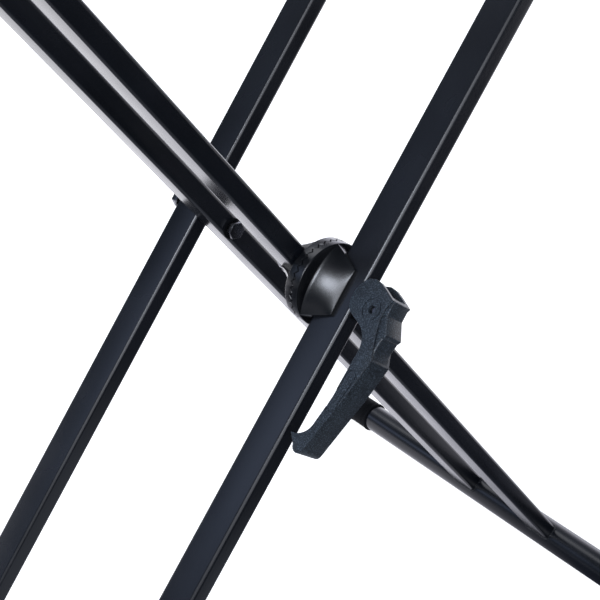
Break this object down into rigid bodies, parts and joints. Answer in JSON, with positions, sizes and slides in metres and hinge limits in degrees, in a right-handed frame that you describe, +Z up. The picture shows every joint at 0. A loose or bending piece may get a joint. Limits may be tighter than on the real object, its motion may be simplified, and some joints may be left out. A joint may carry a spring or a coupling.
{
  "type": "keyboard stand",
  "caption": "Folding X keyboard stand with double braced legs, a toothed pivot clutch and a cam lever.",
  "frame": {"origin": "bottom centre of the unfolded stand, on the floor", "axes": "+Z up, +Y from the lever side to the far side, +X to the right seen from the lever side"},
  "size_m": [0.7062, 0.52, 0.896],
  "materials": {
    "frame_paint": "satin black powder coat",
    "casting_paint": "satin black paint on a die casting",
    "lever_plastic": "fine grained black plastic",
    "cap_rubber": "matte black rubber",
    "sleeve_rubber": "matte black foam rubber",
    "zinc_steel": "bright zinc plate",
    "bush_plastic": "black nylon"
  },
  "bodies": {
    "outer_frame": {"outer_leg_near": "frame_paint", "outer_leg_far": "frame_paint", "outer_foot_tube": "frame_paint", "outer_arm_tube": "frame_paint", "outer_foot_cap_near": "cap_rubber", "outer_foot_cap_far": "cap_rubber", "outer_arm_cap_near": "cap_rubber", "outer_arm_cap_far": "cap_rubber", "outer_arm_sleeve_near": "sleeve_rubber", "outer_arm_sleeve_far": "sleeve_rubber", "clutch_casting_outer": "casting_paint", "cam_pad": "zinc_steel", "release_spring": "zinc_steel", "far_pivot_bolt": "zinc_steel", "far_pivot_washer": "zinc_steel", "far_pivot_nut": "zinc_steel", "far_pivot_collar": "bush_plastic"},
    "clutch_release": {"draw_bolt": "zinc_steel", "draw_washer": "zinc_steel", "draw_nut": "zinc_steel", "lever_pin": "zinc_steel"},
    "inner_frame": {"inner_leg_near": "frame_paint", "inner_leg_far": "frame_paint", "inner_foot_tube": "frame_paint", "inner_arm_tube": "frame_paint", "inner_foot_cap_near": "cap_rubber", "inner_foot_cap_far": "cap_rubber", "inner_arm_cap_near": "cap_rubber", "inner_arm_cap_far": "cap_rubber", "inner_arm_sleeve_near": "sleeve_rubber", "inner_arm_sleeve_far": "sleeve_rubber", "clutch_casting_inner": "casting_paint", "near_pivot_bush": "bush_plastic", "far_pivot_bush": "bush_plastic"},
    "lever": {"cam_lever": "lever_plastic"}
  },
  "joints": [
    {"name": "release_slide", "type": "slide", "parent": "outer_frame", "child": "clutch_release", "axis": [0, 1, 0], "range_m": [0, 0.0032]},
    {"name": "fold", "type": "hinge", "parent": "clutch_release", "child": "inner_frame", "pos_m": [0, 0, 0.44728], "axis": [0, 1, 0], "range_deg": [-50, 70]},
    {"name": "lever_open", "type": "hinge", "parent": "clutch_release", "child": "lever", "pos_m": [0, -0.13095, 0.44728], "axis": [-0.7894, 0, 0.6139], "range_deg": [0, 90]}
  ],
  "couplings": [
    {"joint": "lever_open", "follows": "release_slide", "rad_per_m": 490.82}
  ]
}
